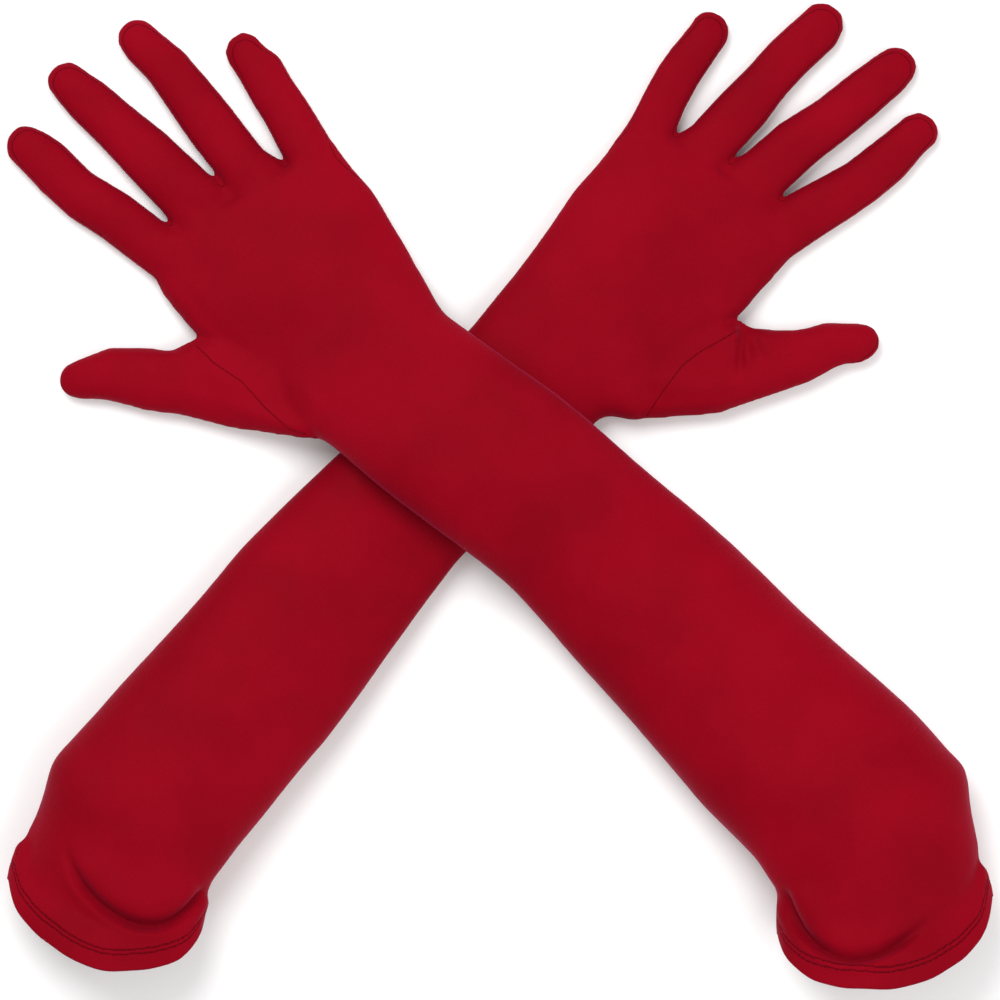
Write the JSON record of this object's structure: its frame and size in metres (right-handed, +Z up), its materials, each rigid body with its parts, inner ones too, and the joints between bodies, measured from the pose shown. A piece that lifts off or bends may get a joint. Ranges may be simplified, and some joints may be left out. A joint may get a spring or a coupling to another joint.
{
  "type": "opera gloves",
  "caption": "Crossed left and right stretch-satin gloves that reach past the elbow, palms up, with turned hems and open mouths.",
  "frame": {"origin": "middle of the crossed pair as seen from above, on the surface it lies on", "axes": "+Z up, out of the palms; +Y towards the fingertips; the mouths of both sleeves open towards -Y; the right glove's hand is on the +X side"},
  "size_m": [0.4222, 0.424, 0.054],
  "materials": {
    "glove_fabric": "smooth stretch satin with a soft sheen",
    "hem_fabric": "the same stretch satin, turned in and doubled",
    "seam_fabric": "overlocked cut edge of the stretch satin",
    "sewing_thread": "matching polyester sewing thread"
  },
  "bodies": {
    "right_arm": {"right_arm_palm_side": "glove_fabric", "right_arm_back_side": "glove_fabric", "right_arm_left_seam": "seam_fabric", "right_arm_right_seam": "seam_fabric"},
    "right_cuff": {"right_cuff_palm_side": "glove_fabric", "right_cuff_back_side": "glove_fabric", "right_cuff_left_seam": "seam_fabric", "right_cuff_right_seam": "seam_fabric", "right_hem_band": "hem_fabric", "right_hem_stitch_row_1": "sewing_thread", "right_hem_stitch_row_2": "sewing_thread"},
    "right_hand": {"right_hand_palm_side": "glove_fabric", "right_hand_back_side": "glove_fabric", "right_thumb_seam_thread": "sewing_thread"},
    "right_index": {"right_index_palm_side": "glove_fabric", "right_index_back_side": "glove_fabric", "right_index_seam": "seam_fabric"},
    "right_middle": {"right_middle_palm_side": "glove_fabric", "right_middle_back_side": "glove_fabric", "right_middle_seam": "seam_fabric"},
    "right_ring": {"right_ring_palm_side": "glove_fabric", "right_ring_back_side": "glove_fabric", "right_ring_seam": "seam_fabric"},
    "right_little": {"right_little_palm_side": "glove_fabric", "right_little_back_side": "glove_fabric", "right_little_seam": "seam_fabric"},
    "right_thumb": {"right_thumb_palm_side": "glove_fabric", "right_thumb_back_side": "glove_fabric", "right_thumb_seam": "seam_fabric"},
    "left_arm": {"left_arm_palm_side": "glove_fabric", "left_arm_back_side": "glove_fabric", "left_arm_left_seam": "seam_fabric", "left_arm_right_seam": "seam_fabric"},
    "left_cuff": {"left_cuff_palm_side": "glove_fabric", "left_cuff_back_side": "glove_fabric", "left_cuff_left_seam": "seam_fabric", "left_cuff_right_seam": "seam_fabric", "left_hem_band": "hem_fabric", "left_hem_stitch_row_1": "sewing_thread", "left_hem_stitch_row_2": "sewing_thread"},
    "left_hand": {"left_hand_palm_side": "glove_fabric", "left_hand_back_side": "glove_fabric", "left_thumb_seam_thread": "sewing_thread"},
    "left_index": {"left_index_palm_side": "glove_fabric", "left_index_back_side": "glove_fabric", "left_index_seam": "seam_fabric"},
    "left_middle": {"left_middle_palm_side": "glove_fabric", "left_middle_back_side": "glove_fabric", "left_middle_seam": "seam_fabric"},
    "left_ring": {"left_ring_palm_side": "glove_fabric", "left_ring_back_side": "glove_fabric", "left_ring_seam": "seam_fabric"},
    "left_little": {"left_little_palm_side": "glove_fabric", "left_little_back_side": "glove_fabric", "left_little_seam": "seam_fabric"},
    "left_thumb": {"left_thumb_palm_side": "glove_fabric", "left_thumb_back_side": "glove_fabric", "left_thumb_seam": "seam_fabric"}
  },
  "joints": [
    {"name": "left_glove_lift", "type": "slide", "parent": "right_arm", "child": "left_arm", "axis": [0, 0, 1], "range_m": [0, 0.15]},
    {"name": "right_elbow_bend", "type": "hinge", "parent": "right_arm", "child": "right_cuff", "pos_m": [-0.1355, -0.114, 0.043], "axis": [-0.85, 0.5268, 0], "range_deg": [0, 60]},
    {"name": "right_wrist_bend", "type": "hinge", "parent": "right_arm", "child": "right_hand", "pos_m": [0.0175, 0.0545, 0.021], "axis": [0.8017, -0.5977, 0], "range_deg": [0, 60]},
    {"name": "right_index_curl", "type": "hinge", "parent": "right_hand", "child": "right_index", "pos_m": [0.131, 0.121, 0.013], "axis": [0.6139, -0.7894, 0], "range_deg": [0, 75]},
    {"name": "right_middle_curl", "type": "hinge", "parent": "right_hand", "child": "right_middle", "pos_m": [0.115, 0.1405, 0.013], "axis": [0.6854, -0.7282, 0], "range_deg": [0, 75]},
    {"name": "right_ring_curl", "type": "hinge", "parent": "right_hand", "child": "right_ring", "pos_m": [0.0915, 0.153, 0.013], "axis": [0.7719, -0.6357, 0], "range_deg": [0, 75]},
    {"name": "right_little_curl", "type": "hinge", "parent": "right_hand", "child": "right_little", "pos_m": [0.0675, 0.1625, 0.0125], "axis": [0.8838, -0.4679, 0], "range_deg": [0, 75]},
    {"name": "right_thumb_fold", "type": "hinge", "parent": "right_hand", "child": "right_thumb", "pos_m": [0.0835, 0.055, 0.0185], "axis": [-0.6985, -0.7156, 0], "range_deg": [0, 70]},
    {"name": "left_elbow_bend", "type": "hinge", "parent": "left_arm", "child": "left_cuff", "pos_m": [0.13375, -0.1135, 0.046], "axis": [-0.9271, -0.3749, 0], "range_deg": [0, 60]},
    {"name": "left_wrist_bend", "type": "hinge", "parent": "left_arm", "child": "left_hand", "pos_m": [-0.043, 0.0475, 0.04247], "axis": [0.6727, 0.7399, 0], "range_deg": [0, 60]},
    {"name": "left_index_curl", "type": "hinge", "parent": "left_hand", "child": "left_index", "pos_m": [-0.1515, 0.1105, 0.013], "axis": [0.6074, 0.7944, 0], "range_deg": [0, 75]},
    {"name": "left_middle_curl", "type": "hinge", "parent": "left_hand", "child": "left_middle", "pos_m": [-0.135, 0.131, 0.013], "axis": [0.7071, 0.7071, 0], "range_deg": [0, 75]},
    {"name": "left_ring_curl", "type": "hinge", "parent": "left_hand", "child": "left_ring", "pos_m": [-0.111, 0.1435, 0.013], "axis": [0.8107, 0.5855, 0], "range_deg": [0, 75]},
    {"name": "left_little_curl", "type": "hinge", "parent": "left_hand", "child": "left_little", "pos_m": [-0.083, 0.1505, 0.0125], "axis": [0.8533, 0.5215, 0], "range_deg": [0, 75]},
    {"name": "left_thumb_fold", "type": "hinge", "parent": "left_hand", "child": "left_thumb", "pos_m": [-0.105, 0.0465, 0.0215], "axis": [-0.7639, 0.6317, -0.1322], "range_deg": [0, 70]}
  ]
}
